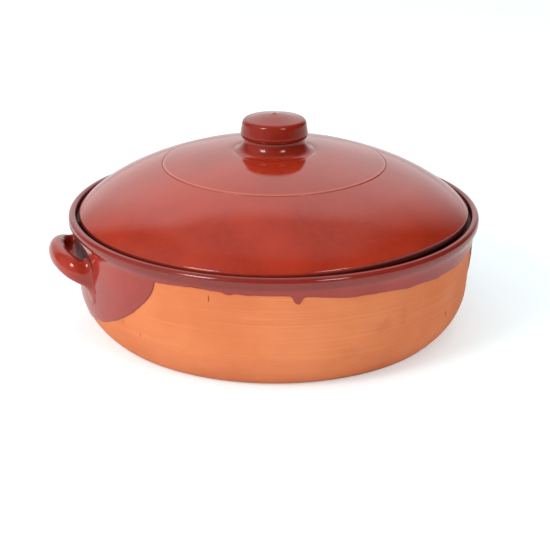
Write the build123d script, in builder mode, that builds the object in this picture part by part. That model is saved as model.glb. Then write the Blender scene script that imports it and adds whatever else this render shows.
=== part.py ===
# Lidded clay baking dish: a shallow round terracotta dish with a rolled rim, an inner ledge for its
# lid, two small ear handles, a domed lid with a turned knob, and the brown glaze on both.
# Millimetres, +Z up. The origin is the centre of the flat underside. The ears are at +X and -X, both
# set a little towards +Y, the back.
from math import asin, cos, degrees, hypot
import os

from build123d import *

# Driving dimensions of the dish
rim_radius = 150.0  # widest point of the rolled rim
rim_height = 85.0  # top of the rim above the table
rim_depth = 9.5  # height of the rolled rim
roll_undercut = 2.5  # the roll's underside slopes out over this height
roll_round = 2.8
roll_underside_round = 1.5
neck_round = 1.0
lip_width = 4.4  # thickness of the lip beside the lid
lip_round = 1.4
foot_setback = 24.0  # edge of the flat underside, in from the rim
heel_bulge = 3.6  # how far the rounded heel stands outside its own chord
heel_height = 30.0  # where the rounded heel turns into the wall
heel_setback = 6.2  # wall at the heel, in from the rim
neck_setback = 3.0  # wall just under the rim, in from the rim
wall_thickness = 7.4
floor_thickness = 7.0
inner_corner = 20.0  # radius between floor and wall inside
ledge_drop = 6.0  # ledge below the top of the rim
ledge_width = 7.6  # from the lip inwards
ledge_round = 1.5  # rounded inner edge of the ledge

# Driving dimensions of the glaze
glaze_thickness = 0.5
glaze_line = 71.0  # lower edge of the glaze band outside
pour_bottom = 18.0  # lowest point of the glaze around each ear
pour_half_width = 104.0  # half the width of the glaze around each ear
lid_glaze_drop = 2.5  # the lid's glaze stops this far above its seat
hollow_margin = 3.0  # bare clay between the lid's seat and the glaze of its hollow

# Driving dimensions of the ears
ear_setback = 10.0  # degrees from the X axis to the middle of each ear
ear_height = 54.5  # centre of each ear where it joins the wall
ear_rise = 9.0  # how much higher its outer run is
ear_half_spread = 29.0  # from the ear's middle to the middle of one root
ear_reach = 14.0  # centre line of the outer run beyond the wall
ear_shoulder = 19.0  # half the length of the outer run
ear_bow = 0.8  # how far the middle of the outer run bows out
ear_bend = 8.5  # radius of the two bends
ear_section_height = 14.0
ear_section_depth = 10.5
ear_sink = 8.0  # how far the ear's core is carried in before the wall trims it
root_height = 29.0  # each root where it is pressed on to the wall
root_width = 17.0
root_depth = 7.0  # how far the root stands out of the wall

# Driving dimensions of the lid
lid_gap = 2.4  # between the glazed edge of the lid and the glazed lip
seat_gap = 0.3  # between the lid's seat and the glazed ledge
lid_edge = 5.0  # height of the lid's edge above its seat
edge_round = 1.6
lid_thickness = 6.0
seat_width = 4.5  # bare ring that sits on the ledge
ring_radius = 81.4  # turned ring on top of the lid
ring_rise = 33.6  # ring above the top of the lid's edge
outer_bulge = 2.4  # crown of the lid between its edge and the ring
ring_width = 1.6
ring_cut = 0.7
crown_rise = 9.4  # flat pad under the knob above the ring
crown_bulge = 1.0  # crown of the lid inside the ring

# Driving dimensions of the knob
knob_foot_radius = 29.0
knob_neck_radius = 22.3
knob_neck_height = 9.0
knob_neck_hollow = 2.2  # how far the neck's flare curves in from its chord
knob_underside = 9.8  # underside of the head above the foot
knob_radius = 24.5
knob_widest = 12.4
knob_shoulder_radius = 22.8
knob_shoulder = 23.0
knob_shoulder_round = 3.0
knob_belly_round = 2.0
knob_crease = 0.8
knob_height = 27.6

# Sizes that follow from the driving ones
foot_radius = rim_radius - foot_setback
lip_radius = rim_radius - lip_width
ledge_height = rim_height - ledge_drop
ledge_radius = lip_radius - ledge_width
neck_radius = rim_radius - neck_setback
neck_height = rim_height - rim_depth
heel_radius = rim_radius - heel_setback
wall_lean = (neck_radius - heel_radius) / (neck_height - heel_height)
floor_radius = heel_radius - wall_thickness
seat_height = ledge_height + glaze_thickness + seat_gap
lid_radius = lip_radius - lid_gap - 2 * glaze_thickness
edge_top = seat_height + lid_edge
ring_height = edge_top + ring_rise
pad_height = ring_height + crown_rise
beyond = 2 * rim_radius  # larger than the object, for trimming


def wall_radius(height):
    """Outer radius of the dish's wall at a height between the heel and the rim."""
    return heel_radius + (height - heel_height) * wall_lean


def arc_between(start, end, bulge):
    """Arc that stands out from its chord, to the right of the way from start to end."""
    dx, dy = end[0] - start[0], end[1] - start[1]
    length = hypot(dx, dy)
    middle = ((start[0] + end[0]) / 2, (start[1] + end[1]) / 2)
    crest = (middle[0] + dy / length * bulge, middle[1] - dx / length * bulge)
    return ThreePointArc(start, crest, end)


def at_both_sides(piece):
    """A piece built on the X axis, turned to its place at the right, and its mirror image at the left."""
    at_right = piece.rotate(Axis.Z, ear_setback)
    return at_right, at_right.mirror(Plane.YZ)


def half_plane(low, high):
    """Rectangle on the profile plane from one corner to the other."""
    size = (high[0] - low[0], high[1] - low[1])
    with Locations((low[0] + size[0] / 2, low[1] + size[1] / 2)):
        return Rectangle(*size, mode=Mode.PRIVATE)


# Profile of the clay dish, from the axis along the underside, up the wall and back inside
foot = (foot_radius, 0)
heel = (heel_radius, heel_height)
wall_outline = [
    heel,
    (neck_radius, neck_height),
    (rim_radius, neck_height + roll_undercut),
    (rim_radius, rim_height),
]
wall_rounds = [neck_round, roll_underside_round, roll_round]
inner_outline = [
    (lip_radius, rim_height),
    (lip_radius, ledge_height),
    (ledge_radius, ledge_height),
    (floor_radius, floor_thickness),
    (0, floor_thickness),
]
inner_rounds = [lip_round, 0, ledge_round, inner_corner]

with BuildSketch(Plane.XZ) as dish_profile:
    with BuildLine():
        Line((0, 0), foot)
        arc_between(foot, heel, heel_bulge)
        FilletPolyline(*wall_outline, *inner_outline, radius=wall_rounds + inner_rounds)
        Line((0, floor_thickness), (0, 0))
    make_face()

with BuildPart() as dish_body:
    add(dish_profile.sketch)
    revolve(axis=Axis.Z)

# The same outside filled solid, which trims whatever joins the wall
with BuildSketch(Plane.XZ) as envelope_profile:
    with BuildLine():
        Line((0, 0), foot)
        arc_between(foot, heel, heel_bulge)
        FilletPolyline(*wall_outline, (0, rim_height), radius=wall_rounds)
        Line((0, rim_height), (0, 0))
    make_face()

with BuildPart() as dish_envelope:
    add(envelope_profile.sketch)
    revolve(axis=Axis.Z)


# One ear: a pulled clay strap bent to a flat loop, with a root pressed on to the wall at each end
root_spot = wall_radius(ear_height)
root_angle = degrees(asin(ear_half_spread / root_spot))
chord_radius = root_spot * cos(asin(ear_half_spread / root_spot))
ear_slope = ear_rise / (ear_reach + root_spot - chord_radius)
slope_length = hypot(1, ear_slope)
ear_plane = Plane(origin=(chord_radius, 0, ear_height), x_dir=(1, 0, ear_slope), z_dir=(-ear_slope, 0, 1))
run_out = (ear_reach + root_spot - chord_radius) * slope_length
bend_out = run_out - ear_bow

with BuildPart() as ear:
    with BuildLine(ear_plane) as ear_line:
        FilletPolyline(
            (-ear_sink, -ear_half_spread),
            (bend_out, -ear_shoulder),
            (run_out, 0),
            (bend_out, ear_shoulder),
            (-ear_sink, ear_half_spread),
            radius=[ear_bend, 4 * ear_bend, ear_bend],
        )
    with BuildSketch(Plane(ear_line.line @ 0, x_dir=(0, 0, 1), z_dir=ear_line.line % 0)):
        Ellipse(ear_section_height / 2, ear_section_depth / 2)
    sweep(path=ear_line.line)
    for side in (-1, 1):
        facing = Plane.YZ.rotated((0, 0, side * root_angle))
        out = facing.z_dir
        wall_spot = out * (root_spot - ear_sink) + Vector(0, 0, ear_height)
        tip_spot = out * (root_spot + root_depth) + Vector(0, 0, ear_height)
        with BuildSketch(Plane(wall_spot, x_dir=(0, 0, 1), z_dir=out)):
            Ellipse(root_height / 2, root_width / 2)
        with BuildSketch(Plane(tip_spot, x_dir=(0, 0, 1), z_dir=out)):
            Ellipse(ear_section_height / 2, ear_section_depth / 2)
        loft()
    add(dish_envelope.part, mode=Mode.SUBTRACT)

ears = dict(zip(("right_ear", "left_ear"), at_both_sides(ear.part)))

# Outside of the wall below the glaze line, where the dish is bare
with BuildSketch(Plane.XZ) as bare_zone:
    add(envelope_profile.sketch_local)
    offset(amount=2 * glaze_thickness, kind=Kind.ARC)
    add(envelope_profile.sketch_local, mode=Mode.SUBTRACT)
    add(half_plane((-beyond, glaze_line), (beyond, beyond)), mode=Mode.SUBTRACT)

# Glaze of the dish: a thin coat inside, over the rim, and down to a line outside
with BuildSketch(Plane.XZ) as dish_coat_profile:
    add(dish_profile.sketch_local)
    offset(amount=glaze_thickness, kind=Kind.ARC)
    add(dish_profile.sketch_local, mode=Mode.SUBTRACT)
    add(bare_zone.sketch_local, mode=Mode.SUBTRACT)
    add(half_plane((-beyond, -beyond), (0, beyond)), mode=Mode.SUBTRACT)

# The same coat carried down the outside of the wall, for the pour around each ear
with BuildSketch(Plane.XZ) as wall_coat_profile:
    add(envelope_profile.sketch_local)
    offset(amount=glaze_thickness, kind=Kind.ARC)
    add(envelope_profile.sketch_local, mode=Mode.SUBTRACT)
    add(half_plane((-beyond, -beyond), (foot_radius, beyond)), mode=Mode.SUBTRACT)
    add(half_plane((-beyond, glaze_line), (beyond, beyond)), mode=Mode.SUBTRACT)

with BuildPart() as ear_pour:
    add(wall_coat_profile.sketch)
    revolve(axis=Axis.Z)
    with BuildSketch(Plane.YZ):
        with Locations((0, glaze_line)):
            Ellipse(pour_half_width, glaze_line - pour_bottom)
    extrude(amount=beyond, mode=Mode.INTERSECT)

with BuildPart() as dish_glaze:
    add(dish_coat_profile.sketch)
    revolve(axis=Axis.Z)
    for pour_part in at_both_sides(ear_pour.part):
        add(pour_part)
    for ear_part in ears.values():
        add(ear_part, mode=Mode.SUBTRACT)

# Profile of the lid's clay shell: outside from the pad to the edge, then the seat and the hollow
pad_rim = (knob_foot_radius, pad_height)
ring_inner = (ring_radius - ring_width / 2, ring_height + ring_cut / 2)
ring_floor = (ring_radius, ring_height - ring_cut)
ring_outer = (ring_radius + ring_width / 2, ring_height - ring_cut / 2)
edge_shoulder = (lid_radius, edge_top)
seat_outer = (lid_radius, seat_height)
seat_inner = (lid_radius - seat_width, seat_height)
hollow_ring = (ring_radius, ring_height - lid_thickness)
hollow_pad = (knob_foot_radius, pad_height - lid_thickness)

with BuildSketch(Plane.XZ) as lid_profile:
    with BuildLine():
        Line((0, pad_height), pad_rim)
        arc_between(ring_inner, pad_rim, crown_bulge)
        Polyline(ring_inner, ring_floor, ring_outer)
        arc_between(edge_shoulder, ring_outer, outer_bulge)
        Polyline(edge_shoulder, seat_outer, seat_inner)
        arc_between(seat_inner, hollow_ring, outer_bulge)
        arc_between(hollow_ring, hollow_pad, crown_bulge)
        Polyline(hollow_pad, (0, pad_height - lid_thickness), (0, pad_height))
    make_face()
    fillet(lid_profile.vertices().sort_by_distance(edge_shoulder)[0], edge_round)
    fillet(lid_profile.vertices().sort_by_distance(seat_outer)[0], edge_round / 2)

with BuildPart() as lid_shell:
    add(lid_profile.sketch)
    revolve(axis=Axis.Z)

# Glaze of the lid: one coat outside, from the knob's foot down the edge, and one over the hollow
glaze_stop = seat_height + lid_glaze_drop
hollow_coat_edge = lid_radius - seat_width - hollow_margin

with BuildSketch(Plane.XZ) as lid_coat_profile:
    add(lid_profile.sketch_local)
    offset(amount=glaze_thickness, kind=Kind.ARC)
    add(lid_profile.sketch_local, mode=Mode.SUBTRACT)
    add(half_plane((-beyond, -beyond), (0, beyond)), mode=Mode.SUBTRACT)
    add(half_plane((0, pad_height - lid_thickness / 2), (knob_foot_radius, beyond)), mode=Mode.SUBTRACT)
    add(half_plane((hollow_coat_edge, -beyond), (beyond, glaze_stop)), mode=Mode.SUBTRACT)
    coats = lid_coat_profile.faces().sort_by(Axis.Y)

with BuildPart() as lid_glaze:
    add(Plane.XZ * coats[-1])
    revolve(axis=Axis.Z)

with BuildPart() as lid_inside_glaze:
    add(Plane.XZ * coats[0])
    revolve(axis=Axis.Z)

# The knob: a short hollowed neck under a tapering head with a shallow pointed top
foot_edge = (knob_foot_radius, pad_height + glaze_thickness)
neck_foot = (knob_neck_radius, pad_height + knob_neck_height)
head_under = (knob_neck_radius, pad_height + knob_underside)
head_side = (knob_radius, pad_height + knob_widest)
head_shoulder = (knob_shoulder_radius, pad_height + knob_shoulder)
head_tip = (0, pad_height + knob_height)

with BuildPart() as knob:
    with BuildSketch(Plane.XZ):
        with BuildLine():
            Polyline((0, pad_height), pad_rim, foot_edge)
            arc_between(foot_edge, neck_foot, -knob_neck_hollow)
            FilletPolyline(
                neck_foot,
                head_under,
                head_side,
                head_shoulder,
                head_tip,
                radius=[knob_crease, knob_belly_round, knob_shoulder_round],
            )
            Line(head_tip, (0, pad_height))
        make_face()
    revolve(axis=Axis.Z)

# Each piece as its own file
pieces = {
    "dish_body": dish_body.part,
    "dish_glaze": dish_glaze.part,
    **ears,
    "lid_shell": lid_shell.part,
    "lid_glaze": lid_glaze.part,
    "lid_inside_glaze": lid_inside_glaze.part,
    "lid_knob": knob.part,
}

os.makedirs("parts", exist_ok=True)
for name, piece in pieces.items():
    piece.label = name
    export_step(piece, f"parts/{name}.step")
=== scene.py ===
# The looks of a lidded baking dish of brown-glazed red clay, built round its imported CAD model.
# Metres, +Z up. The origin is the centre of the dish's flat underside. The ears are at +X and -X, both set
# a little towards +Y, the back.
from math import asin, ceil, cos, hypot, pi, radians, sin, sqrt, tan

import bpy
import numpy as np
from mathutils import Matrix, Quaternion, Vector, kdtree, noise


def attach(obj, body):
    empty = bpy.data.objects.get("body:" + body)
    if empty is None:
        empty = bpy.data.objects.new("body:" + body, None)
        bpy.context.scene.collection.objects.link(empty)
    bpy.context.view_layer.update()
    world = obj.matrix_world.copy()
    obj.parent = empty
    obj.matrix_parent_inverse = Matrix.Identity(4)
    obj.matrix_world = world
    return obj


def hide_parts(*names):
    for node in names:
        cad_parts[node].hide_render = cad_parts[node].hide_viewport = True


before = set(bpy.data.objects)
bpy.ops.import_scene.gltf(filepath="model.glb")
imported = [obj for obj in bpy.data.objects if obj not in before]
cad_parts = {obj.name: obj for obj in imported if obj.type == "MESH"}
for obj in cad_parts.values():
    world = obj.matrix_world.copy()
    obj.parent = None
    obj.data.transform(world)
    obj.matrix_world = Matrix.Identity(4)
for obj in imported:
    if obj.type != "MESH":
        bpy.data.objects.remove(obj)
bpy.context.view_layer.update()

scene = bpy.context.scene
mm = 0.001

# The camera stands at the left ear's side of the front, a little above the lid, as in the photograph.
# A long lens keeps the dish's round lines nearly as they are in a drawing.
view_azimuth = radians(-26)
view_elevation = radians(19.9)
view_distance = 1050 * mm
view_axis_height = 60 * mm
view_aim = Vector((1.2 * mm, 0, 29.8 * mm))
view_roll = radians(0.38)
sensor_width = 36
lens_length = 92.1

turn_to_view = Quaternion((0, 0, 1), view_azimuth)
towards_camera = turn_to_view @ Vector((0, -1, 0))
camera = bpy.data.objects.new("camera", bpy.data.cameras.new("camera"))
camera.data.sensor_width = sensor_width
camera.data.lens = lens_length
camera.location = towards_camera * view_distance * cos(view_elevation)
camera.location.z = view_axis_height + view_distance * sin(view_elevation)
looking = (turn_to_view @ view_aim - camera.location).to_track_quat("-Z", "Y")
camera.rotation_euler = (looking @ Quaternion((0, 0, 1), view_roll)).to_euler()
scene.collection.objects.link(camera)
scene.camera = camera
scene.view_settings.view_transform = "Standard"


# The dish is thrown on the wheel from red earthenware: a flat floor, a rounded heel, an upright wall,
# and a rolled rim with a ledge turned inside it. The fingers leave faint rings round the wall.
rim_radius = 150 * mm
rim_height = 85 * mm
rim_depth = 9.5 * mm
roll_undercut = 4.0 * mm
lip_width = 4.4 * mm
foot_radius = 126 * mm
foot_setback = 2 * mm
foot_round = 4 * mm
heel_bulge = 3.6 * mm
heel_height = 30 * mm
heel_radius = rim_radius - 6.2 * mm
neck_radius = rim_radius - 3 * mm
neck_height = rim_height - rim_depth
wall_thickness = 7.4 * mm
floor_thickness = 7 * mm
neck_round = 12 * mm
inner_corner = 20 * mm
ledge_height = rim_height - 6 * mm
lip_radius = rim_radius - lip_width
ledge_radius = lip_radius - 7.6 * mm
floor_radius = heel_radius - wall_thickness
steps_around = 384
clay_ring_pitch = 7 * mm
clay_ring_depth = 0.16 * mm
clay_wobble = 0.35 * mm

# Outlines are swept round a circle of this radius, and moved in by as much first. Points nearer to each
# other than the weld distance become one, as where an outline meets the axis.
wheel_radius = 100 * mm
weld_distance = 0.002 * mm


def wall_radius(height):
    """Outer radius of the clay wall between the heel and the rim."""
    lean = (neck_radius - heel_radius) / (neck_height - heel_height)
    return heel_radius + (height - heel_height) * lean


def bulged(start, end, bulge, count=24):
    """Points of an arc that stands out from its chord, to the right of the way from start to end."""
    start, end = np.array(start), np.array(end)
    chord = end - start
    length = hypot(*chord)
    right = np.array((chord[1], -chord[0])) / length
    radius = (length * length / 4 + bulge * bulge) / (2 * bulge)
    middle = (start + end) / 2 - right * (radius - bulge)
    half = asin(length / 2 / radius)
    turns = np.linspace(-half, half, count)
    return [tuple(middle + radius * (right * cos(t) + chord / length * sin(t))) for t in turns]


def rounded(outline, rounds, spacing):
    """Points along straight runs whose corners are rounded, with no gap wider than the spacing."""
    nearly_straight = pi / 2 - 0.01
    points = [np.array(outline[0])]
    corners = list(zip(outline[:-2], outline[1:-1], outline[2:], rounds))
    for before, corner, after, radius in corners:
        before, corner, after = np.array(before), np.array(corner), np.array(after)
        back = (before - corner) / hypot(*(before - corner))
        ahead = (after - corner) / hypot(*(after - corner))
        half = asin(min(1, hypot(*(ahead - back)) / 2))
        if radius == 0 or half > nearly_straight:
            points.append(corner)
            continue
        reach = radius / tan(half)
        middle = corner + (back + ahead) / hypot(*(back + ahead)) * radius / sin(half)
        first, last = corner + back * reach - middle, corner + ahead * reach - middle
        sweep = pi - 2 * half
        steps = max(3, ceil(sweep * radius / (spacing / 3)))
        for step in range(steps + 1):
            part = step / steps
            blend = (first * sin((1 - part) * sweep) + last * sin(part * sweep)) / sin(sweep)
            points.append(middle + blend)
    points.append(np.array(outline[-1]))
    filled = [points[0]]
    for start, end in zip(points[:-1], points[1:]):
        steps = max(1, ceil(hypot(*(end - start)) / spacing))
        filled += [start + (end - start) * step / steps for step in range(1, steps + 1)]
    return [tuple(point) for point in filled]


def add_node(tree, kind, inputs=None, **settings):
    """Adds a node to a tree, and feeds its inputs from values or from other sockets."""
    node = tree.nodes.new(kind)
    for key, value in settings.items():
        setattr(node, key, value)
    for key, value in (inputs or {}).items():
        if isinstance(value, bpy.types.NodeSocket):
            tree.links.new(value, node.inputs[key])
        else:
            node.inputs[key].default_value = value
    return node


def math_of(tree, operation, *values):
    """The result of one math node."""
    return add_node(tree, "ShaderNodeMath", dict(enumerate(values)), operation=operation).outputs[0]


def product(tree, first, second):
    """Two values multiplied."""
    return math_of(tree, "MULTIPLY", first, second)


def vector_of(tree, operation, *values):
    """The vector that one vector math node gives."""
    return add_node(tree, "ShaderNodeVectorMath", dict(enumerate(values)), operation=operation).outputs[0]


def value_of(tree, operation, *values):
    """The value that one vector math node gives, such as a length."""
    node = add_node(tree, "ShaderNodeVectorMath", dict(enumerate(values)), operation=operation)
    return node.outputs["Value"]


def scaled(tree, vector, amount):
    """A vector made longer or shorter."""
    return add_node(tree, "ShaderNodeVectorMath", {0: vector, "Scale": amount}, operation="SCALE").outputs[0]


def joined(tree, *values):
    """A vector made of up to three values."""
    return add_node(tree, "ShaderNodeCombineXYZ", dict(enumerate(values))).outputs[0]


def parts_of(tree, vector):
    """The three values of a vector."""
    return add_node(tree, "ShaderNodeSeparateXYZ", {0: vector}).outputs


def between(tree, amount, first, second):
    """A value between two values."""
    return add_node(tree, "ShaderNodeMix", {0: amount, 2: first, 3: second}, data_type="FLOAT").outputs[0]


def mixed(tree, amount, first, second):
    """A colour between two colours."""
    inputs = {0: amount, 6: first, 7: second}
    return add_node(tree, "ShaderNodeMix", inputs, data_type="RGBA", clamp_factor=True).outputs[2]


def spread(tree, value, low, high, to_low=0.0, to_high=1.0):
    """A value carried smoothly from one range to another, held inside it."""
    inputs = {"Value": value, "From Min": low, "From Max": high, "To Min": to_low, "To Max": to_high}
    return add_node(tree, "ShaderNodeMapRange", inputs, interpolation_type="SMOOTHSTEP").outputs[0]


def noise_of(tree, place, scale, detail=2.0, roughness=0.5):
    """The value of a noise at a place."""
    inputs = {"Vector": place, "Scale": scale, "Detail": detail, "Roughness": roughness}
    return add_node(tree, "ShaderNodeTexNoise", inputs).outputs[0]


def new_tree(name, kind, inputs, outputs):
    """An empty node group with named sockets, and its input and output nodes."""
    tree = bpy.data.node_groups.new(name, kind)
    for way, sockets in (("INPUT", inputs), ("OUTPUT", outputs)):
        for label, socket_type, *start in sockets:
            socket = tree.interface.new_socket(name=label, in_out=way, socket_type=socket_type)
            if start:
                socket.default_value = start[0]
    return tree, tree.nodes.new("NodeGroupInput"), tree.nodes.new("NodeGroupOutput")


# How thrown clay differs from a perfect round: rings pushed in by the fingers, a slow wobble, and the lift
# of an edge that warped as it dried. It moves a point by its place alone, so clay and glaze stay together.
form_inputs = [
    ("Ring Pitch", "NodeSocketFloat", clay_ring_pitch),
    ("Ring Depth", "NodeSocketFloat", clay_ring_depth),
    ("Wobble", "NodeSocketFloat", clay_wobble),
    ("Upright", "NodeSocketFloat", 1.0),
    ("Rings Stop", "NodeSocketFloat", neck_height),
    ("Warp Radius", "NodeSocketFloat", rim_radius),
    ("First Warp Angle", "NodeSocketFloat", 0.0),
    ("First Warp Lift", "NodeSocketFloat", 0.0),
    ("Second Warp Angle", "NodeSocketFloat", 0.0),
    ("Second Warp Lift", "NodeSocketFloat", 0.0),
    ("Warp Spread", "NodeSocketFloat", 0.6),
]
ring_fade = 5 * mm
ring_drift = 0.45
# A noise stays within about a quarter of its middle, so this much makes it fill its depth.
noise_to_full = 4.0
form, form_in, form_out = new_tree(
    "thrown_form",
    "GeometryNodeTree",
    [("Geometry", "NodeSocketGeometry"), *form_inputs],
    [("Geometry", "NodeSocketGeometry")],
)
asked = form_in.outputs
point_parts = parts_of(form, add_node(form, "GeometryNodeInputPosition").outputs[0])
flat = joined(form, point_parts[0], point_parts[1])
outwards = vector_of(form, "NORMALIZE", flat)
from_axis = value_of(form, "LENGTH", flat)
share = math_of(form, "DIVIDE", from_axis, asked["Warp Radius"])
across = between(form, asked["Upright"], from_axis, point_parts[2])
pitches = math_of(form, "DIVIDE", across, asked["Ring Pitch"])
drift = parts_of(form, scaled(form, outwards, ring_drift))
rings = noise_of(form, joined(form, drift[0], drift[1], pitches), 1.0, 1.5)
ring_height = product(form, math_of(form, "SUBTRACT", rings, 0.5), noise_to_full)
ring_height = product(form, ring_height, asked["Ring Depth"])
fade_range = {
    "Value": across,
    "From Min": math_of(form, "SUBTRACT", asked["Rings Stop"], ring_fade),
    "From Max": asked["Rings Stop"],
    "To Min": 1.0,
    "To Max": 0.0,
}
ring_height = product(form, ring_height, add_node(form, "ShaderNodeMapRange", fade_range).outputs[0])
sway = math_of(form, "SUBTRACT", noise_of(form, outwards, 0.9, 0.0), 0.5)
sway = product(form, product(form, sway, asked["Wobble"]), share)
push_way = add_node(
    form, "ShaderNodeMix", {0: asked["Upright"], 4: (0, 0, 1), 5: outwards}, data_type="VECTOR"
).outputs[1]
push = scaled(form, push_way, math_of(form, "ADD", ring_height, sway))
lift = 0.0
for order in ("First", "Second"):
    heading = asked[f"{order} Warp Angle"]
    facing = joined(form, math_of(form, "COSINE", heading), math_of(form, "SINE", heading))
    near = math_of(form, "DIVIDE", value_of(form, "DISTANCE", outwards, facing), asked["Warp Spread"])
    bell = math_of(form, "EXPONENT", product(form, product(form, near, near), -1.0))
    lift = math_of(form, "ADD", product(form, bell, asked[f"{order} Warp Lift"]), lift)
lift = product(form, lift, math_of(form, "POWER", share, 3.0))
offset = vector_of(form, "ADD", push, joined(form, 0.0, 0.0, lift))
moved = add_node(form, "GeometryNodeSetPosition", {"Geometry": asked[0], "Offset": offset})
form.links.new(moved.outputs[0], form_out.inputs[0])


def finishing_tree(name, turned):
    """A tree that gives a piece its thrown form and material, and first turns an outline round the axis."""
    own_inputs = [
        ("Geometry", "NodeSocketGeometry"),
        ("Steps Around", "NodeSocketInt", steps_around),
        ("Material", "NodeSocketMaterial"),
    ]
    outputs = [("Geometry", "NodeSocketGeometry")]
    tree, ins, outs = new_tree(name, "GeometryNodeTree", [*own_inputs, *form_inputs], outputs)
    shape = ins.outputs["Geometry"]
    if turned:
        outline = add_node(tree, "GeometryNodeMeshToCurve", {0: shape}).outputs[0]
        spot = parts_of(tree, add_node(tree, "GeometryNodeInputPosition").outputs[0])
        section = joined(tree, math_of(tree, "SUBTRACT", spot[0], wheel_radius), product(tree, spot[2], -1.0))
        outline = add_node(tree, "GeometryNodeSetPosition", {"Geometry": outline, "Position": section})
        circle = add_node(
            tree,
            "GeometryNodeCurvePrimitiveCircle",
            {"Resolution": ins.outputs["Steps Around"], "Radius": wheel_radius},
        )
        sweep = {"Curve": circle.outputs[0], "Profile Curve": outline.outputs[0]}
        shape = add_node(tree, "GeometryNodeCurveToMesh", sweep).outputs[0]
    welding = {"Geometry": shape, "Distance": weld_distance}
    shape = add_node(tree, "GeometryNodeMergeByDistance", welding).outputs[0]
    group = add_node(tree, "GeometryNodeGroup", {"Geometry": shape}, node_tree=form)
    for label, *_ in form_inputs:
        tree.links.new(ins.outputs[label], group.inputs[label])
    real = add_node(tree, "GeometryNodeRealizeInstances", {"Geometry": group.outputs[0]}).outputs[0]
    colouring = {"Geometry": real, "Material": ins.outputs["Material"]}
    coloured = add_node(tree, "GeometryNodeSetMaterial", colouring).outputs[0]
    tree.links.new(coloured, outs.inputs[0])
    return tree


turned_piece = finishing_tree("turned_piece", turned=True)
fitted_coat = finishing_tree("fitted_coat", turned=False)


def shaped(name, mesh, tree, values):
    """An object whose mesh is what the tree makes of the given mesh."""
    piece = bpy.data.objects.new(name, mesh)
    scene.collection.objects.link(piece)
    modifier = piece.modifiers.new("making", "NODES")
    modifier.node_group = tree
    for socket in tree.interface.items_tree:
        if socket.in_out == "INPUT" and socket.name in values:
            modifier[socket.identifier] = values[socket.name]
    ready = piece.evaluated_get(bpy.context.evaluated_depsgraph_get())
    result = bpy.data.meshes.new_from_object(ready)
    piece.modifiers.clear()
    piece.data = result
    result.name = name
    result.shade_smooth()
    return piece


def thrown(name, outline, material, form_values, steps=steps_around):
    """An object turned from a line through points of radius and height."""
    mesh = bpy.data.meshes.new(name + "_outline")
    mesh.from_pydata([(r, 0, z) for r, z in outline], [(i, i + 1) for i in range(len(outline) - 1)], [])
    return shaped(name, mesh, turned_piece, {"Steps Around": steps, "Material": material, **form_values})


# A mark in or on the clay, such as a nick or a burnt speck: a soft spot with a ragged outline.
mark, mark_in, mark_out = new_tree(
    "clay_mark",
    "ShaderNodeTree",
    [
        ("Place", "NodeSocketVector"),
        ("Centre", "NodeSocketVector"),
        ("Width", "NodeSocketFloat"),
        ("Height", "NodeSocketFloat"),
        ("Ragged", "NodeSocketFloat"),
        ("Softness", "NodeSocketFloat"),
    ],
    [("Mask", "NodeSocketFloat")],
)
wanted = mark_in.outputs
stir = add_node(mark, "ShaderNodeTexNoise", {"Vector": wanted["Place"], "Scale": 420.0}).outputs[1]
stir = scaled(mark, vector_of(mark, "SUBTRACT", stir, (0.5, 0.5, 0.5)), wanted["Ragged"])
offset = vector_of(mark, "ADD", vector_of(mark, "SUBTRACT", wanted["Place"], wanted["Centre"]), stir)
half_size = joined(mark, wanted["Width"], wanted["Width"], wanted["Height"])
apart = value_of(mark, "LENGTH", vector_of(mark, "DIVIDE", offset, half_size))
inner = math_of(mark, "SUBTRACT", 1.0, wanted["Softness"])
mark.links.new(spread(mark, apart, inner, 1.0, 1.0, 0.0), mark_out.inputs[0])

# Degrees are counted round the dish from the middle of the photograph's view, to the right.
clay_marks = [
    # degrees, height, half width, half height, ragged, softness, strength
    (-16.7, 68.0, 0.75, 3.6, 0.7, 0.6, 0.85),
    (-38.9, 29.0, 0.8, 2.4, 0.9, 0.7, 0.55),
    (-45.5, 34.7, 1.1, 1.1, 1.5, 0.8, 0.6),
    (57.0, 32.4, 1.5, 2.6, 1.6, 0.8, 0.6),
    (51.5, 34.3, 0.7, 0.9, 0.8, 0.8, 0.4),
    (30.8, 42.0, 12.0, 9.0, 16.0, 1.0, 0.14),
    (22.0, 27.0, 15.0, 7.0, 16.0, 1.0, 0.12),
    (37.0, 46.0, 4.0, 12.0, 9.0, 1.0, 0.12),
    (150.0, 55.0, 1.2, 1.4, 1.0, 0.8, 0.5),
    (196.0, 40.0, 8.0, 5.0, 8.0, 0.95, 0.2),
    (228.0, 62.0, 0.8, 2.5, 0.8, 0.7, 0.6),
]
clay_orange = (0.72, 0.232, 0.088, 1)
clay_clouded = (0.63, 0.178, 0.062, 1)
clay_banded = (0.62, 0.17, 0.062, 1)
clay_pale_line = (0.9, 0.36, 0.17, 1)
clay_dark_grain = (0.55, 0.15, 0.06, 1)
clay_burnt = (0.16, 0.035, 0.016, 1)


def at_angle(view_degrees, radius, height):
    """A point by its angle from the middle of the view, its distance from the axis and its height."""
    angle = view_azimuth - pi / 2 + radians(view_degrees)
    return Vector((radius * cos(angle), radius * sin(angle), height))


def new_material(name):
    """A material, its tree and its shader."""
    material = bpy.data.materials.new(name)
    material.use_nodes = True
    return material, material.node_tree, material.node_tree.nodes["Principled BSDF"]


def place_on(tree):
    """The place of a point on its piece."""
    return add_node(tree, "ShaderNodeTexCoord").outputs["Object"]


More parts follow.
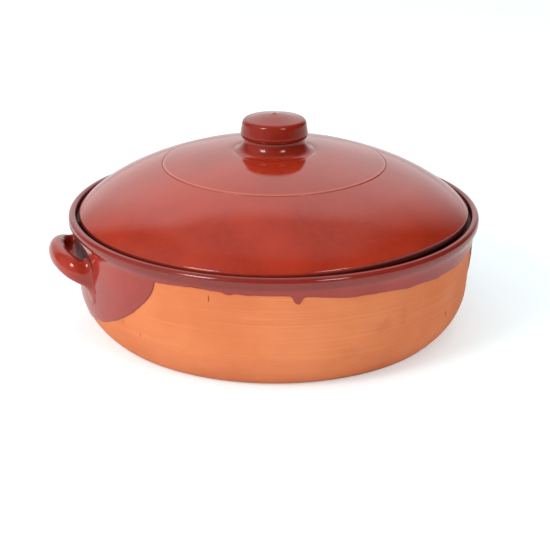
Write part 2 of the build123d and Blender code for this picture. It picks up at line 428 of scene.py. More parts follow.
def mark_mask(tree, place, view_degrees, height, width, tall, ragged, softness):
    """The mask of one mark on the wall. All but the angle and the softness are in mm."""
    inputs = {
        "Place": place,
        "Centre": at_angle(view_degrees, wall_radius(height * mm), height * mm),
        "Width": width * mm,
        "Height": tall * mm,
        "Ragged": ragged * mm,
        "Softness": softness,
    }
    return add_node(tree, "ShaderNodeGroup", inputs, node_tree=mark).outputs[0]


def clay_material(name, marks):
    """Unglazed red clay: warm orange, banded by the wheel, clouded by the kiln and finely grained."""
    material, tree, shader = new_material(name)
    place = place_on(tree)
    bands = noise_of(tree, vector_of(tree, "MULTIPLY", place, (5, 5, 90)), 1.0, 4.0, 0.62)
    fine_bands = noise_of(tree, vector_of(tree, "MULTIPLY", place, (9, 9, 700)), 1.0, 2.0)
    clouds = noise_of(tree, place, 14.0, 4.0, 0.6)
    grain = noise_of(tree, place, 1900.0, 3.0, 0.7)
    colour = mixed(tree, spread(tree, clouds, 0.3, 0.72), clay_orange, clay_clouded)
    colour = mixed(tree, spread(tree, bands, 0.42, 0.75, 0.0, 0.38), colour, clay_banded)
    colour = mixed(tree, spread(tree, fine_bands, 0.5, 0.8, 0.0, 0.22), colour, clay_pale_line)
    colour = mixed(tree, spread(tree, grain, 0.55, 0.8, 0.0, 0.25), colour, clay_dark_grain)
    for *sizes, strength in marks:
        mask = mark_mask(tree, place, *sizes)
        colour = mixed(tree, product(tree, mask, strength), colour, clay_burnt)
    tree.links.new(colour, shader.inputs["Base Color"])
    roughness = spread(tree, noise_of(tree, place, 60.0, 3.0), 0.3, 0.7, 0.62, 0.8)
    tree.links.new(roughness, shader.inputs["Roughness"])
    shader.inputs["IOR"].default_value = 1.45
    shader.inputs["Specular IOR Level"].default_value = 0.35
    relief = math_of(tree, "ADD", product(tree, grain, 0.25), product(tree, fine_bands, 0.6))
    bump = add_node(tree, "ShaderNodeBump", {"Height": relief, "Strength": 0.35, "Distance": 0.12 * mm})
    tree.links.new(bump.outputs[0], shader.inputs["Normal"])
    return material


bare_clay = clay_material("bare_red_clay", clay_marks)
heel_arc = bulged((foot_radius, 0), (heel_radius, heel_height), heel_bulge, 30)
wall_corners = [
    # radius, height, round
    (neck_radius, neck_height, neck_round),
    (rim_radius, neck_height + roll_undercut, 1.5 * mm),
    (rim_radius, rim_height, 2.8 * mm),
    (lip_radius, rim_height, 1.4 * mm),
    (lip_radius, ledge_height, 0.4 * mm),
    (ledge_radius, ledge_height, 1.5 * mm),
    (floor_radius, floor_thickness, inner_corner),
]
wall_and_inside = [heel_arc[-1], *[(r, z) for r, z, _ in wall_corners], (0, floor_thickness)]
wall_outline = rounded(wall_and_inside, [corner_round for *_, corner_round in wall_corners], 2.5 * mm)
underside = rounded([(0, 0), (foot_radius - foot_setback, 0), heel_arc[1]], [foot_round], 8 * mm)
clay_outline = underside + heel_arc[2:] + wall_outline[1:]
dish_form = {
    "Ring Pitch": clay_ring_pitch,
    "Ring Depth": clay_ring_depth,
    "Wobble": clay_wobble,
    "Upright": 1.0,
    "Rings Stop": neck_height,
    "Warp Radius": rim_radius,
}
dish = thrown("clay_dish", clay_outline, bare_clay, dish_form)
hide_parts("dish_body")
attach(dish, "dish")


# The dish is held upside down by its foot and dipped, so the brown glaze covers the inside and the rim
# and stops at a wavering line outside, with a drip or two. More is poured over each ear with a ladle.
glaze_thickness = 0.5 * mm
glaze_bedding = 0.15 * mm
glaze_edge_width = 0.9 * mm
edge_swell = 0.5
edge_swell_width = 2.4 * mm
edge_thin_width = 1.0 * mm
pool_and_shade_full_depth = 1.2 * mm
glaze_band_top = neck_height - 0.2 * mm
column_count = 760
edge_rows = 33
least_row_step = 0.2 * mm
widest_row_step = 5 * mm
crest_reach = 3 * mm
pour_half_angle = 47.6
pour_drop = 57.0
pour_middles = (-80.0, 124.0)
band_edge = [
    # degrees round from the middle of the view, height of the glaze's lower edge in mm
    (-110, 72.0), (-32, 73.2), (-26, 73.9), (-17.5, 74.9), (-11, 73.4), (-4, 73.0), (3, 72.6), (9, 71.6),
    (13, 70.3), (19, 69.0), (24, 68.4), (30, 67.8), (37, 66.8), (45, 65.8), (53, 65.5), (60, 66.0), (68, 66.9),
    (108, 69.0), (148, 71.5), (160, 73.0), (172, 71.8), (184, 72.6), (197, 70.4), (210, 71.0), (222, 73.2),
    (234, 72.2), (250, 72.0),
]
drips = [
    # degrees, how far it has run down in mm, half width in degrees
    (6.2, 5.4, 1.25), (-11.5, 1.3, 1.2), (-6.5, 0.5, 1.6), (-23.0, 0.5, 0.9), (176.0, 6.5, 1.3),
    (205.0, 2.2, 1.4), (155.0, 1.2, 1.5),
]


def degrees_off(around, middle):
    """How far angles are from a middle angle, the short way round."""
    return (around - middle + 180) % 360 - 180


def unevenness(around, frequency, seed):
    """A smooth random value for each angle, which meets itself all round."""
    turns = [radians(angle) for angle in around]
    return np.array([noise.noise((cos(a) * frequency, sin(a) * frequency, seed)) for a in turns])


def glaze_edge(view_degrees):
    """Height of the glaze's lower edge outside, at angles counted from the middle of the view."""
    around = (np.asarray(view_degrees) + 110) % 360 - 110
    spots, heights = zip(*band_edge)
    shifts = (-1.6, -0.8, 0, 0.8, 1.6)
    edge = sum(np.interp(around + shift, spots, heights, period=360) for shift in shifts) / len(shifts)
    for middle, run, width in drips:
        edge = edge - run * np.exp(-np.abs(degrees_off(around, middle) / width) ** 3)
    for middle in pour_middles:
        away = np.abs(degrees_off(around, middle)) / pour_half_angle
        edge = edge - pour_drop * np.clip(1 - away**2, 0, 1) ** 0.625
    ragged = unevenness(around, 9, 3.0) * 0.8 + unevenness(around, 40, 7.0) * 0.22
    return np.minimum(edge + ragged, glaze_band_top / mm - 0.4) * mm


def along(outline):
    """The points of an outline as an array, and how far along it each of them is."""
    points = np.array(outline)
    steps = np.hypot(*np.diff(points, axis=0).T)
    return points, np.concatenate(([0], np.cumsum(steps)))


def settled_rows(points, lengths, slopes, settled, thin_at):
    """Distances along an outline for a coat's rows past its edge: close together only where it bends, or
    near a radius where the glaze is thin."""
    rows, slope = [settled], slopes[np.searchsorted(lengths, settled)]
    for index in np.flatnonzero(lengths > settled + least_row_step):
        beside_thin = any(abs(points[index, 0] - radius) < crest_reach for radius, _ in thin_at)
        bent = np.dot(slope, slopes[index]) < 0.99
        far = lengths[index] - rows[-1] > widest_row_step
        if bent or beside_thin or far or index == len(lengths) - 1:
            rows.append(lengths[index])
            slope = slopes[index]
    return np.array(rows[1:])


def closed_skin(name, grid, angles, side):
    """A mesh of rows of radius and height, one for each angle, closed all round and from last row to first."""
    count, around = grid.shape[:2]
    corners = [grid[..., 0] * np.cos(angles)[None, :], grid[..., 0] * np.sin(angles)[None, :], grid[..., 1]]
    vertices = np.stack(corners, axis=-1).reshape(-1, 3)
    row, column = np.meshgrid(np.arange(count), np.arange(around), indexing="ij")
    next_row, next_column = (row + 1) % count, (column + 1) % around
    here, right = row * around + column, row * around + next_column
    above, above_right = next_row * around + column, next_row * around + next_column
    order = (here, right, above_right, above) if side > 0 else (here, above, above_right, right)
    faces = np.stack(order, axis=-1).reshape(-1, 4)
    mesh = bpy.data.meshes.new(name)
    mesh.from_pydata(vertices.tolist(), [], faces.tolist())
    return mesh


def coat(name, outline, angles, starts, settled, side=1, thin_at=(), pool_and_shade_span=None):
    """A closed skin of glaze along an outline turned round the axis. It starts at a wavering edge, given
    as a distance along the outline for each angle, and from the settled distance on all angles agree.
    It is marked thin near its edge and at given radii. Between two radii below a height it is marked dark,
    partly for pooled glaze and partly as painted shade of the recess."""
    points, lengths = along(outline)
    slopes = np.gradient(points, lengths, axis=0)
    slopes /= np.hypot(slopes[:, 0], slopes[:, 1])[:, None]
    normals = np.stack([slopes[:, 1], -slopes[:, 0]], axis=1) * side
    wavering = (1 - np.cos(np.linspace(0, pi, edge_rows))) / 2
    near_edge = edge_rows + 14
    edge_distances = starts[None, :] + wavering[:, None] * (settled - starts[None, :])
    later = settled_rows(points, lengths, slopes, settled, thin_at)
    distances = np.concatenate([edge_distances, np.repeat(later[:, None], len(angles), 1)])
    spot = np.stack([np.interp(distances, lengths, points[:, k]) for k in (0, 1)], axis=-1)
    lean = np.stack([np.interp(distances, lengths, normals[:, k]) for k in (0, 1)], axis=-1)
    tree = kdtree.KDTree(len(angles))
    for index, (angle, start) in enumerate(zip(angles, starts)):
        radius = np.interp(start, lengths, points[:, 0])
        tree.insert((radius * cos(angle), radius * sin(angle), np.interp(start, lengths, points[:, 1])), index)
    tree.balance()
    depth = np.full(distances.shape, glaze_thickness)
    thin = np.zeros(distances.shape)
    for row in range(distances.shape[0]):
        for column, angle in enumerate(angles):
            radius, height = spot[row, column]
            away = 10 * mm
            if row < near_edge:
                away = tree.find((radius * cos(angle), radius * sin(angle), height))[2]
            edge = sqrt(max(0.0, 1 - (1 - min(1, away / glaze_edge_width)) ** 2))
            swell = 1 + edge_swell * np.exp(-((away / edge_swell_width) ** 2))
            depth[row, column] *= edge * swell
            thin[row, column] = np.exp(-((away / edge_thin_width) ** 2))
    depth[0] = 0
    for radius, width in thin_at:
        thin = np.maximum(thin, np.exp(-(((spot[..., 0] - radius) / width) ** 2)))
    pool_and_shade = np.zeros(distances.shape)
    if pool_and_shade_span:
        inside, outside, highest = pool_and_shade_span
        within = (spot[..., 0] > inside) & (spot[..., 0] < outside) & (distances > settled)
        pool_and_shade = within * np.clip((highest - spot[..., 1]) / pool_and_shade_full_depth, 0, 1)
    hidden = [0]
    for row in range(1, distances.shape[0]):
        bent = np.dot(lean[row, 0], lean[hidden[-1], 0]) < 0.985
        if bent or row - hidden[-1] > 3 or row == distances.shape[0] - 1:
            hidden.append(row)
    hidden.reverse()
    seen_rows = spot + lean * depth[..., None]
    bedded_rows = spot - lean * glaze_bedding
    grid = np.concatenate([seen_rows, bedded_rows[hidden]])
    grid[..., 0] = np.maximum(grid[..., 0], 0)
    mesh = closed_skin(name, grid, angles, side)
    for label, values in (("thin_glaze", thin), ("pooled_and_shaded_glaze", pool_and_shade)):
        marks = np.concatenate([values, values[hidden]])
        mesh.attributes.new(label, "FLOAT", "POINT").data.foreach_set("value", marks.ravel())
    return mesh


# Depth of colour in the brown glaze: clouded, speckled with iron, paler where it ran thin over an edge, and
# nearly black in recesses, where glaze pooled and where shade is painted in. It gives the colour, the gloss
# and the unevenness of the fired surface.
iron_speck = (0.10, 0.012, 0.008, 1)
# Nearly black in recesses: partly pooled glaze, partly painted shade.
pooled_and_shaded_brown = (0.06, 0.005, 0.008, 1)
pooled_and_shaded_dullness = 0.45
thin_share = 0.75
glaze_look, glaze_in, glaze_out = new_tree(
    "brown_glaze_depth",
    "ShaderNodeTree",
    [
        ("Place", "NodeSocketVector"),
        ("Thin", "NodeSocketFloat"),
        ("Pooled", "NodeSocketFloat"),
        ("Deep Colour", "NodeSocketColor"),
        ("Clear Colour", "NodeSocketColor"),
        ("Thin Colour", "NodeSocketColor"),
    ],
    [("Colour", "NodeSocketColor"), ("Relief", "NodeSocketFloat"), ("Roughness", "NodeSocketFloat")],
)
given = glaze_in.outputs
where = given["Place"]
clouds = spread(glaze_look, noise_of(glaze_look, where, 22.0, 3.0, 0.55), 0.3, 0.7)
mottle = noise_of(glaze_look, where, 240.0, 3.0, 0.6)
clearing = spread(glaze_look, mottle, 0.35, 0.75, 0.0, 0.4)
speck_distance = add_node(glaze_look, "ShaderNodeTexVoronoi", {"Vector": where, "Scale": 330.0})
specks = spread(glaze_look, speck_distance.outputs["Distance"], 0.05, 0.16, 0.35, 0.0)
tint = mixed(glaze_look, clouds, given["Deep Colour"], given["Clear Colour"])
tint = mixed(glaze_look, clearing, tint, given["Clear Colour"])
tint = mixed(glaze_look, specks, tint, iron_speck)
tint = mixed(glaze_look, product(glaze_look, given["Thin"], thin_share), tint, given["Thin Colour"])
tint = mixed(glaze_look, given["Pooled"], tint, pooled_and_shaded_brown)
peel = product(glaze_look, noise_of(glaze_look, where, 150.0, 2.0), 0.5)
swells = noise_of(glaze_look, where, 35.0, 1.0)
gloss = spread(glaze_look, mottle, 0.2, 0.8, 0.07, 0.17)
gloss = math_of(glaze_look, "ADD", gloss, product(glaze_look, given["Pooled"], pooled_and_shaded_dullness))
glaze_look.links.new(tint, glaze_out.inputs["Colour"])
glaze_look.links.new(math_of(glaze_look, "ADD", peel, swells), glaze_out.inputs["Relief"])
glaze_look.links.new(gloss, glaze_out.inputs["Roughness"])


def glaze_material(name, shades, bump_height):
    """Fired brown glaze with its own depth of colour."""
    material, tree, shader = new_material(name)
    place = place_on(tree)
    thinness = add_node(tree, "ShaderNodeAttribute", attribute_name="thin_glaze").outputs["Fac"]
    pool_and_shade_depth = add_node(tree, "ShaderNodeAttribute", attribute_name="pooled_and_shaded_glaze").outputs["Fac"]
    inputs = {"Place": place, "Thin": thinness, "Pooled": pool_and_shade_depth, **shades}
    look = add_node(tree, "ShaderNodeGroup", inputs, node_tree=glaze_look, name="glaze_depth")
    tree.links.new(look.outputs["Colour"], shader.inputs["Base Color"])
    tree.links.new(look.outputs["Roughness"], shader.inputs["Roughness"])
    shader.inputs["IOR"].default_value = 1.6
    relief = {"Height": look.outputs["Relief"], "Strength": 0.5, "Distance": bump_height}
    tree.links.new(add_node(tree, "ShaderNodeBump", relief).outputs[0], shader.inputs["Normal"])
    return material


dish_shades = {
    "Deep Colour": (0.27, 0.020, 0.012, 1),
    "Clear Colour": (0.35, 0.028, 0.016, 1),
    "Thin Colour": (0.2, 0.02, 0.018, 1),
}
dish_brown = glaze_material("brown_glaze_on_dish", dish_shades, 0.10 * mm)
dish_tree = dish_brown.node_tree
dish_shader = dish_tree.nodes["Principled BSDF"]
dish_place = place_on(dish_tree)
dish_look = dish_tree.nodes["glaze_depth"].outputs

# The glaze is thicker and darker on the rim. Behind each ear the wall is painted dark and dull as painted
# shade of the ear, in a spot that goes through to the inside of the wall.
rim_brown = (0.08, 0.005, 0.003, 1)
height_up = parts_of(dish_tree, dish_place)[2]
rim_share = spread(dish_tree, height_up, neck_height, neck_height + 2.5 * mm, 0.0, 0.45)
dish_colour = mixed(dish_tree, rim_share, dish_look["Colour"], rim_brown)
dish_gloss = dish_look["Roughness"]
# Painted shade behind each ear: a dark colour and a duller gloss.
ear_shade_brown = (0.06, 0.004, 0.005, 1)
ear_shade_dullness = 0.6
painted_ear_shade_marks = [
    # degrees, height, half width, half height, ragged, softness
    (-74.0, 62.5, 38.0, 19.0, 2.0, 0.006),
    (126.0, 62.5, 38.0, 19.0, 2.0, 0.006),
]
for sizes in painted_ear_shade_marks:
    ear_shade_mask = mark_mask(dish_tree, dish_place, *sizes)
    dish_colour = mixed(dish_tree, ear_shade_mask, dish_colour, ear_shade_brown)
    dish_gloss = math_of(dish_tree, "ADD", dish_gloss, product(dish_tree, ear_shade_mask, ear_shade_dullness))
dish_tree.links.new(dish_colour, dish_shader.inputs["Base Color"])
dish_tree.links.new(dish_gloss, dish_shader.inputs["Roughness"])

# The coat's columns stand closer together where its edge is steep, so that drips and pours stay round.
skin_outline = heel_arc[8:] + wall_outline[1:]
skin_points, skin_lengths = along(skin_outline)
up_the_wall = slice(0, int(np.argmax(skin_points[:, 1] > neck_height)))
wall_heights, wall_lengths = skin_points[up_the_wall, 1], skin_lengths[up_the_wall]
fine_turn = 0.1
even_turns = np.arange(0, 360, fine_turn)
even_edge = glaze_edge(even_turns)
edge_run = np.hypot(radians(fine_turn) * rim_radius, np.diff(np.append(even_edge, even_edge[0])))
edge_way = np.concatenate(([0], np.cumsum(edge_run)))
even_way = np.linspace(0, edge_way[-1], column_count, endpoint=False)
turns = np.interp(even_way, edge_way, np.append(even_turns, 360))
dish_skin = coat(
    "dish_coat",
    skin_outline,
    view_azimuth - pi / 2 + np.radians(turns),
    np.interp(glaze_edge(turns), wall_heights, wall_lengths),
    np.interp(glaze_band_top, wall_heights, wall_lengths),
    # The corner of the ledge inside the rim is nearly black: partly glaze pooled there, mostly painted shade
    # of the recess.
    pool_and_shade_span=(ledge_radius + 0.6 * mm, lip_radius + 0.4 * mm, rim_height - 0.4 * mm),
)
dish_coat = shaped("dish_brown_glaze", dish_skin, fitted_coat, {"Material": dish_brown, **dish_form})
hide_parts("dish_glaze")
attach(dish_coat, "dish")


# Each ear is a strap of clay, bent to a loop that slopes up from the wall, pressed on at both ends and
# smeared down with the thumb, so that its roots run out on the wall as drops. It is glazed all over.
ear_setback = radians(10)
ear_root_height = 54.5 * mm
ear_reach = 14 * mm
ear_top = 63.5 * mm
ear_thickness_across = 7.6 * mm
ear_thickness_out = 5.6 * mm
ear_root_round = 7 * mm
ear_line_points = 150
ear_section_points = 40
ear_line = [
    # degrees from the ear's middle, distance from the wall in mm, height in mm
    (11.6, -5.0, 53.4), (11.5, 0.0, 54.3), (11.2, 4.5, 56.6), (9.8, 9.6, 60.2), (6.6, 13.0, 62.8),
    (2.4, 14.1, 63.6), (-2.4, 14.1, 63.5), (-6.6, 12.9, 62.6), (-9.8, 9.5, 59.8), (-11.2, 4.4, 56.2),
    (-11.5, 0.0, 54.0), (-11.6, -5.0, 53.0),
]
ear_shades = {
    "Deep Colour": (0.27, 0.018, 0.008, 1),
    "Clear Colour": (0.36, 0.026, 0.010, 1),
    "Thin Colour": (0.5, 0.12, 0.07, 1),
}


def smooth_line(points, count):
    """Points evenly along a smooth curve through the given ones."""
    points = np.array(points, float)
    ends = np.vstack([2 * points[0] - points[1], points, 2 * points[-1] - points[-2]])
    fine = []
    for index in range(1, len(ends) - 2):
        a, b, c, d = ends[index - 1 : index + 3]
        for t in np.linspace(0, 1, 40, endpoint=False):
            bend = (2 * a - 5 * b + 4 * c - d) * t**2 + (3 * b - a - 3 * c + d) * t**3
            fine.append(0.5 * (2 * b + (c - a) * t + bend))
    fine = np.array(fine + [ends[-2]])
    way = np.concatenate(([0], np.cumsum(np.linalg.norm(np.diff(fine, axis=0), axis=1))))
    return np.stack([np.interp(np.linspace(0, way[-1], count), way, fine[:, k]) for k in range(3)], axis=1)


def unit(vector):
    """A vector made one long."""
    return vector / np.linalg.norm(vector)


def spread_on_wall(point, centre):
    """A point of the ear, moved out along the wall where it comes near it, most of all up and down."""
    gap = hypot(point[0], point[1]) - wall_radius(max(point[2], heel_height))
    if gap >= ear_root_round:
        return point
    outward = unit(np.array((point[0], point[1], 0)))
    along_wall = point - centre
    along_wall = unit(along_wall - outward * along_wall.dot(outward))
    short = min(1, max(0, (ear_root_round - gap) / ear_root_round))
    flare = ear_root_round * (1 - sqrt(1 - short * short))
    reach = 0.4 + 0.75 * max(0, along_wall[2]) ** 2 + 1.5 * max(0, -along_wall[2]) ** 1.6
    return point + along_wall * flare * reach


def ear_mesh(name, facing, seed):
    """The mesh of one ear that stands out from the axis at the given angle."""
    spots = []
    for turn, out, height in ear_line:
        radius = wall_radius(height * mm) + out * mm
        spots.append((radius * cos(radians(turn)), radius * sin(radians(turn)), height * mm))
    line = smooth_line(spots, ear_line_points)
    ways = np.gradient(line, axis=0)
    ways /= np.linalg.norm(ways, axis=1)[:, None]
    slope = unit(np.array((ear_root_height - ear_top, 0, ear_reach + 4 * mm)))
    rings = []
    section = np.linspace(0, 2 * pi, ear_section_points, endpoint=False)
    for index, (centre, way) in enumerate(zip(line, ways)):
        up = unit(slope - way * slope.dot(way))
        beside = np.cross(way, up)
        squeeze = 1 + 0.05 * noise.noise((index * 0.05, seed, 0))
        ring = []
        for turn in section:
            out = up * ear_thickness_across * squeeze * sin(turn) + beside * ear_thickness_out * cos(turn)
            ring.append(spread_on_wall(centre + out, centre))
        rings.append(ring)
    rows, around = len(rings), ear_section_points
    x, y, z = np.array(rings).reshape(-1, 3).T
    c, s = cos(facing), sin(facing)
    vertices = np.stack([x * c - y * s, x * s + y * c, z], axis=1)
    faces = []
    for row in range(rows - 1):
        here, above = row * around, (row + 1) * around
        for column in range(around):
            after = (column + 1) % around
            faces.append((here + column, above + column, above + after, here + after))
    faces.append(tuple(range(around)))
    faces.append(tuple((rows - 1) * around + column for column in reversed(range(around))))
    mesh = bpy.data.meshes.new(name)
    mesh.from_pydata(vertices.tolist(), [], faces)
    mesh.attributes.new("thin_glaze", "FLOAT", "POINT")
    mesh.shade_smooth()
    return mesh


ear_brown = glaze_material("brown_glaze_on_ears", ear_shades, 0.08 * mm)
for name, node, facing, seed in (
    ("left_ear_glazed", "left_ear", pi - ear_setback, 2.0),
    ("right_ear_glazed", "right_ear", ear_setback, 9.0),
):
    ear = bpy.data.objects.new(name, ear_mesh(name, facing, seed))
    ear.data.materials.append(ear_brown)
    scene.collection.objects.link(ear)
    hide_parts(node)
    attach(ear, "dish")


# The lid is thrown upside down as a shallow bowl, then turned to an even shell with one ring cut round
# its crown. Its edge warped a little in the kiln, so it stands off the rim at the right of the front.
seat_height = ledge_height + 0.8 * mm
seat_width = 4.5 * mm
seat_round = 2.9 * mm
lid_radius = lip_radius - 3.4 * mm
lid_edge = 5 * mm
edge_round = 1.6 * mm
lid_thickness = 6 * mm
ring_radius = 81.4 * mm
ring_rise = 33.6 * mm
ring_width = 1.6 * mm
ring_cut = 0.7 * mm
crown_rise = 9.4 * mm
crown_bulge = 1.0 * mm
dome_bulge = 2.4 * mm
dome_shoulder = 2.2 * mm
pad_radius = 31.5 * mm
glaze_end_radius = 24 * mm
edge_top = seat_height + lid_edge
ring_height = edge_top + ring_rise
pad_height = ring_height + crown_rise
hollow_top = pad_height - lid_thickness
ring_outer = ring_radius + ring_width / 2
ring_inner = ring_radius - ring_width / 2
seat_outline = [(lid_radius - seat_width, seat_height), (lid_radius, seat_height), (lid_radius, edge_top)]

# The dome is an arc that is raised more towards its edge, where the lid has a fuller shoulder.
dome_arc = bulged((lid_radius, edge_top), (ring_outer, ring_height - ring_cut / 2), dome_bulge, 34)
dome_share = [(lid_radius - radius) / (lid_radius - ring_radius) for radius, height in dome_arc]
dome_arc = [(r, z + dome_shoulder * sin(pi * share**0.6)) for (r, z), share in zip(dome_arc, dome_share)]
edge_outline = rounded([*seat_outline, dome_arc[2]], [seat_round, edge_round], 1.2 * mm)
ring_outline = rounded(
    [
        dome_arc[-2],
        dome_arc[-1],
        (ring_radius, ring_height - ring_cut),
        (ring_inner, ring_height + ring_cut / 2),
        (ring_inner - 1.2 * mm, ring_height + ring_cut / 2 + 0.32 * mm),
    ],
    [0.35 * mm, 0.3 * mm, 0.3 * mm],
    0.6 * mm,
)
crown_arc = bulged(ring_outline[-1], (pad_radius, pad_height), crown_bulge, 30)
lid_outside = [*edge_outline[:-1], *dome_arc[2:-1], *ring_outline[1:-1], *crown_arc]
lid_outside.append((glaze_end_radius, pad_height))
hollow_ring = (ring_radius, ring_height - lid_thickness)
hollow_arc = bulged((pad_radius, hollow_top), hollow_ring, -crown_bulge, 20)
hollow_dome = bulged(hollow_ring, (lid_radius - seat_width, seat_height), -dome_bulge, 30)
lid_form = {
    "Ring Pitch": 9 * mm,
    "Ring Depth": 0.10 * mm,
    "Wobble": 0.3 * mm,
    "Upright": 0.0,
    "Rings Stop": lid_radius,
    "Warp Radius": lid_radius,
    "First Warp Angle": view_azimuth - pi / 2 + radians(48),
    "First Warp Lift": 4.4 * mm,
    "Second Warp Angle": view_azimuth - pi / 2 - radians(46),
    "Second Warp Lift": 1.3 * mm,
    "Warp Spread": 0.6,
}
shell_outline = [(0, hollow_top), *hollow_arc, *hollow_dome[1:], *lid_outside[1:], (0, pad_height)]
lid_clay = clay_material("bare_clay_of_lid", [])
lid_shell = thrown("lid_clay_shell", shell_outline, lid_clay, lid_form)
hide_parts("lid_shell")
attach(lid_shell, "lid")


# The lid's glaze is poured over the outside down to its edge, and swilled round the hollow. It breaks
# paler on the crest of the turned ring, and the seat is wiped clean so that it doesn't stick in the kiln.
lid_shades = {
    "Deep Colour": (0.28, 0.020, 0.007, 1),
    "Clear Colour": (0.36, 0.029, 0.010, 1),
    "Thin Colour": (0.50, 0.14, 0.095, 1),
}
outer_start = seat_width - 2.2 * mm
outer_settled = outer_start + 1.8 * mm
inner_start = 3.4 * mm
inner_settled = 8 * mm
lid_turns = np.radians(np.arange(0, 360, 0.75))
lid_brown = glaze_material("brown_glaze_on_lid", lid_shades, 0.10 * mm)


def wavering_starts(mean, sway, seed):
    """How far along an outline a coat starts, at each of the lid's angles."""
    return np.array([mean + sway * noise.noise((cos(a) * 3, sin(a) * 3, seed)) for a in lid_turns])


outer_skin = coat(
    "lid_outer_coat",
    lid_outside,
    lid_turns,
    wavering_starts(outer_start, 0.5 * mm, 5.0),
    outer_settled,
    thin_at=[(ring_radius - 1.0 * mm, 0.6 * mm)],
    # The lid's edge face is dark and dull: painted shade of the gap between the lid and the rim.
    pool_and_shade_span=(lid_radius - 3 * mm, lid_radius + mm, edge_top - 0.3 * mm),
)
lid_coat = shaped("lid_outer_glaze", outer_skin, fitted_coat, {"Material": lid_brown, **lid_form})
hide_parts("lid_glaze")
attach(lid_coat, "lid")

hollow_outline = [*reversed(hollow_dome), *reversed(hollow_arc[:-1]), (0, hollow_top)]
inner_skin = coat(
    "lid_inner_coat",
    hollow_outline,
    lid_turns,
    wavering_starts(inner_start, 1.2 * mm, 8.0),
    inner_settled,
    side=-1,
)
lid_lining = shaped("lid_hollow_glaze", inner_skin, fitted_coat, {"Material": lid_brown, **lid_form})
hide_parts("lid_inside_glaze")
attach(lid_lining, "lid")


# The knob is thrown off the hump: a short hollowed neck under a head that tapers upwards and ends in the
# small point where the clay left the fingers. It is stuck on with slip and glazed with the lid.
knob_foot_radius = 31.5 * mm
knob_foot_hollow = 2.66 * mm
knob_neck_radius = 22.3 * mm
knob_neck_height = 9.8 * mm
knob_radius = 24.5 * mm
knob_corners = [
    # radius, height over the pad, round
    (knob_neck_radius, 10.1 * mm, 0.3 * mm),
    (knob_radius - 0.5 * mm, 10.9 * mm, 0.9 * mm),
    (knob_radius, 13.2 * mm, 2.5 * mm),
    (22.9 * mm, 23.2 * mm, 3.6 * mm),
    (9 * mm, 26.2 * mm, 16 * mm),
    (2.2 * mm, 27.1 * mm, 2 * mm),
]
knob_top = 27.9 * mm
knob_steps_around = 192
# The lid's glaze, painted darker as painted shade.
knob_painted_shade_colours = {
    "Deep Colour": (0.185, 0.012, 0.005, 1),
    "Clear Colour": (0.25, 0.016, 0.006, 1),
    "Thin Colour": (0.5, 0.12, 0.07, 1),
}
knob_foot = bulged(
    (knob_foot_radius, pad_height + 0.1 * mm),
    (knob_neck_radius, pad_height + knob_neck_height),
    -knob_foot_hollow,
    26,
)
knob_head = rounded(
    [knob_foot[-1], *[(r, pad_height + z) for r, z, _ in knob_corners], (0, pad_height + knob_top)],
    [corner_round for *_, corner_round in knob_corners],
    1.0 * mm,
)
knob_outline = [(0, pad_height - 1 * mm), (knob_foot_radius, pad_height - 1 * mm), *knob_foot, *knob_head[1:]]
knob_form = {**lid_form, "Ring Depth": 0.0, "Wobble": 0.0}
knob_brown = glaze_material("brown_glaze_on_knob", knob_painted_shade_colours, 0.10 * mm)
knob_tree = knob_brown.node_tree
knob_tree.nodes["Principled BSDF"].inputs["IOR"].default_value = 1.5

# The knob's glaze is painted darker than the lid's, as painted shade, and goes over to the lid's colours
# towards the edge of its foot.
level = vector_of(knob_tree, "MULTIPLY", place_on(knob_tree), (1, 1, 0))
near_foot = spread(knob_tree, value_of(knob_tree, "LENGTH", level), 24.5 * mm, 29.5 * mm)
for label in ("Deep Colour", "Clear Colour"):
    shade = mixed(knob_tree, near_foot, knob_painted_shade_colours[label], lid_shades[label])
    knob_tree.links.new(shade, knob_tree.nodes["glaze_depth"].inputs[label])
knob = thrown("knob_glazed", knob_outline, knob_brown, knob_form, steps=knob_steps_around)
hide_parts("lid_knob")
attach(knob, "lid")


# The studio: a white table and backdrop, a large soft lamp from the left, a soft one overhead, and a pair
# of small soft boxes in front, which show in the glaze as two bright spots.
lamp_aim = Vector((0, 0, 0.07))
lamps = [
    # name, degrees from the middle of the view, elevation, distance, width, watts, seen in the gloss
    ("key_lamp", -60, 30, 2.2, 1.4, 20, False),
    ("top_lamp", 160, 78, 2.2, 1.8, 8, False),
    ("left_box", -44, 38, 1.9, 0.48, 8.5, True),
    ("right_box", 34, 38, 1.9, 0.42, 4.5, True),
]
for name, view_degrees, elevation, distance, width, watts, seen_in_gloss in lamps:
    lamp = bpy.data.objects.new(name, bpy.data.lights.new(name, "AREA"))
    lamp.data.shape = "SQUARE"
    lamp.data.size = width
    lamp.data.energy = watts
    out, up = distance * cos(radians(elevation)), distance * sin(radians(elevation))
    lamp.location = at_angle(view_degrees, out, up)
    lamp.rotation_euler = (lamp_aim - lamp.location).to_track_quat("-Z", "Y").to_euler()
    lamp.visible_glossy = seen_in_gloss
    scene.collection.objects.link(lamp)

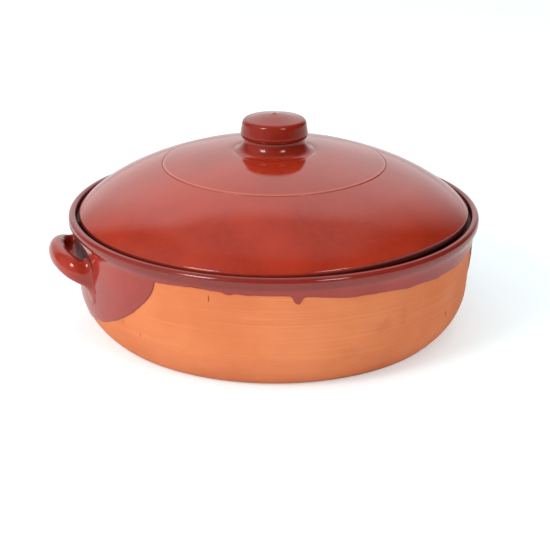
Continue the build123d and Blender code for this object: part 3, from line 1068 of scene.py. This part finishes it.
# The table glows a little and is tinted for the camera alone, so that it comes out as white as the paper.
table_half = 6.0
table_grey = (0.86, 0.86, 0.86, 1)
table_seen = (0.69, 0.80, 0.83, 1)
table_glow = 0.36
table_corners = [(-1, -1), (1, -1), (1, 1), (-1, 1)]
floor_mesh = bpy.data.meshes.new("table_top")
floor_mesh.from_pydata([(x * table_half, y * table_half, 0) for x, y in table_corners], [], [(0, 1, 2, 3)])
floor = bpy.data.objects.new("table_top", floor_mesh)
scene.collection.objects.link(floor)
table_white, table_tree, table_shader = new_material("white_table")
seen = add_node(table_tree, "ShaderNodeLightPath").outputs["Is Camera Ray"]
table_colour = mixed(table_tree, seen, table_grey, table_seen)
table_tree.links.new(table_colour, table_shader.inputs["Base Color"])
glow = mixed(table_tree, seen, (0, 0, 0, 1), (1, 1, 1, 1))
table_tree.links.new(glow, table_shader.inputs["Emission Color"])
table_shader.inputs["Emission Strength"].default_value = table_glow
table_shader.inputs["Roughness"].default_value = 0.7
table_shader.inputs["Specular IOR Level"].default_value = 0.2
floor_mesh.materials.append(table_white)

# The backdrop is white to the camera and gives an even soft light. The gloss shows more of the studio: the
# curved paper behind, open at both ends, a panel overhead, and a room that is dimmer to the right.
soft_light = 0.66
world = bpy.data.worlds.new("studio")
scene.world = world
world.use_nodes = True
sky = world.node_tree
sky.nodes.clear()


def over_degrees(value, low, high, to_low, to_high):
    """A value that changes smoothly between two angles in degrees."""
    return spread(sky, value, radians(low), radians(high), to_low, to_high)


direction = add_node(sky, "ShaderNodeTexCoord").outputs["Generated"]
behind = value_of(sky, "DOT_PRODUCT", direction, Vector((-towards_camera.x, -towards_camera.y, 0)))
beside = value_of(sky, "DOT_PRODUCT", direction, Vector((-towards_camera.y, towards_camera.x, 0)))
over = math_of(sky, "ARCTAN2", parts_of(sky, direction)[2], behind)
sideways = math_of(sky, "ARCTAN2", beside, behind)
paper = over_degrees(over, 57, 68, 0.75, 0.0)
paper = product(sky, paper, over_degrees(sideways, -60, -42, 0.0, 1.0))
paper = product(sky, paper, over_degrees(sideways, 18, 58, 1.0, 0.0))
paper = product(sky, paper, over_degrees(over, 12, 36, 0.76, 1.0))
overhead = over_degrees(over, 84, 112, 0.44, 0.0)
overhead = product(sky, overhead, spread(sky, beside, -0.64, -0.4, 0.0, 1.0))
overhead = product(sky, overhead, spread(sky, beside, 0.25, 0.62, 1.0, 0.0))
room = spread(sky, beside, -0.8, 0.3, 0.42, 0.05)
room = product(sky, room, spread(sky, behind, 0.0, 0.5, 1.0, 0.3))
backdrop = math_of(sky, "MAXIMUM", math_of(sky, "ADD", paper, overhead), room)
path = add_node(sky, "ShaderNodeLightPath").outputs
glossy_or_through = math_of(sky, "MAXIMUM", path["Is Glossy Ray"], path["Is Transmission Ray"])
strength = between(sky, glossy_or_through, soft_light, backdrop)
strength = between(sky, path["Is Camera Ray"], strength, 1.0)
shine = add_node(sky, "ShaderNodeBackground", {"Color": (1, 1, 1, 1), "Strength": strength})
sky.links.new(shine.outputs[0], add_node(sky, "ShaderNodeOutputWorld").inputs[0])
